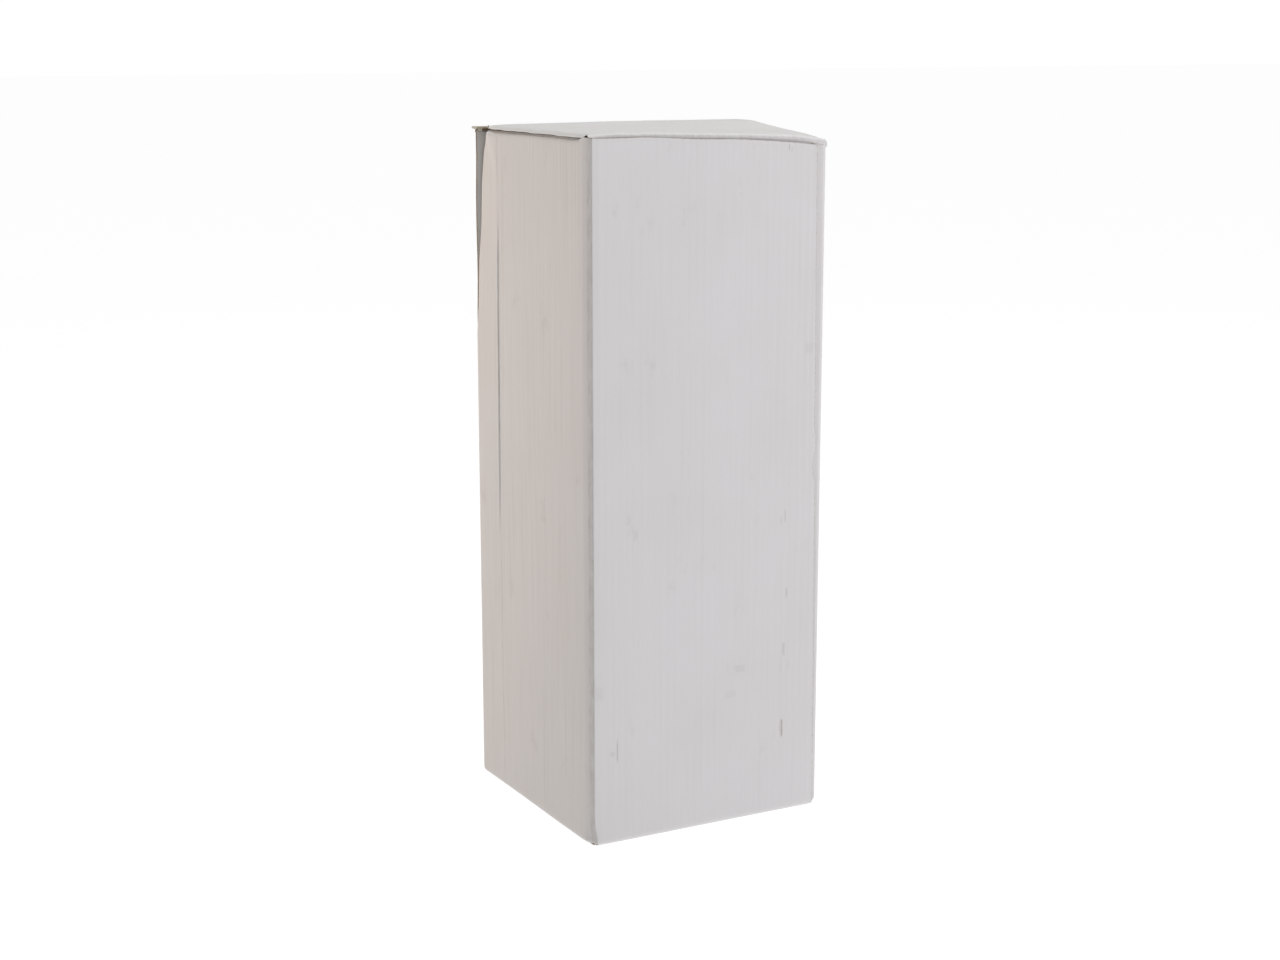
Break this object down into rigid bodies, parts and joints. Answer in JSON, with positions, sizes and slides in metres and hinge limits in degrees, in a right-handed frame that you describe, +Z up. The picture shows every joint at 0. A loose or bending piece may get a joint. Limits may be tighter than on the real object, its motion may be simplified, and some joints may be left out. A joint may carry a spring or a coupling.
{
  "type": "display plinth",
  "caption": "Tall square display plinth folded from white-lined corrugated board, with a tuck-in lid over dust flaps, a glued base and a slotted cross brace inside.",
  "frame": {"origin": "centre of the plinth's base, on the floor", "axes": "+Z up along the height; -Y is the front, where the lid tucks in; +X is to the right seen from the front"},
  "size_m": [0.3, 0.3, 0.785],
  "materials": {
    "white_board": "matte white liner on corrugated board",
    "kraft_board": "plain brown corrugated board"
  },
  "bodies": {
    "plinth": {"front_wall": "white_board", "left_wall": "white_board", "right_wall": "white_board", "back_wall": "white_board", "front_glue_tab": "white_board", "rear_glue_tab": "white_board", "base_flap_front": "white_board", "base_flap_back": "white_board", "base_flap_left": "white_board", "base_flap_right": "white_board", "base_pad": "kraft_board", "brace_across": "kraft_board", "brace_deep": "kraft_board", "top_pad": "kraft_board"},
    "lid": {"lid": "white_board"},
    "tuck": {"tuck_flap": "white_board"},
    "dust_left": {"dust_flap_left": "white_board"},
    "dust_right": {"dust_flap_right": "white_board"}
  },
  "joints": [
    {"name": "lid_hinge", "type": "hinge", "parent": "plinth", "child": "lid", "pos_m": [0, 0.15, 0.785], "axis": [-1, 0, 0], "range_deg": [0, 250]},
    {"name": "tuck_hinge", "type": "hinge", "parent": "lid", "child": "tuck", "pos_m": [0, -0.1447, 0.785], "axis": [-1, 0, 0], "range_deg": [0, 75]},
    {"name": "left_dust_hinge", "type": "hinge", "parent": "plinth", "child": "dust_left", "pos_m": [-0.15, 0, 0.7797], "axis": [0, -1, 0], "range_deg": [0, 105]},
    {"name": "right_dust_hinge", "type": "hinge", "parent": "plinth", "child": "dust_right", "pos_m": [0.15, 0, 0.7797], "axis": [0, 1, 0], "range_deg": [0, 105]}
  ],
  "couplings": [
    {"joint": "tuck_hinge", "follows": "lid_hinge", "ratio": 0.3},
    {"joint": "left_dust_hinge", "follows": "lid_hinge", "ratio": 0.42},
    {"joint": "right_dust_hinge", "follows": "lid_hinge", "ratio": 0.42}
  ]
}
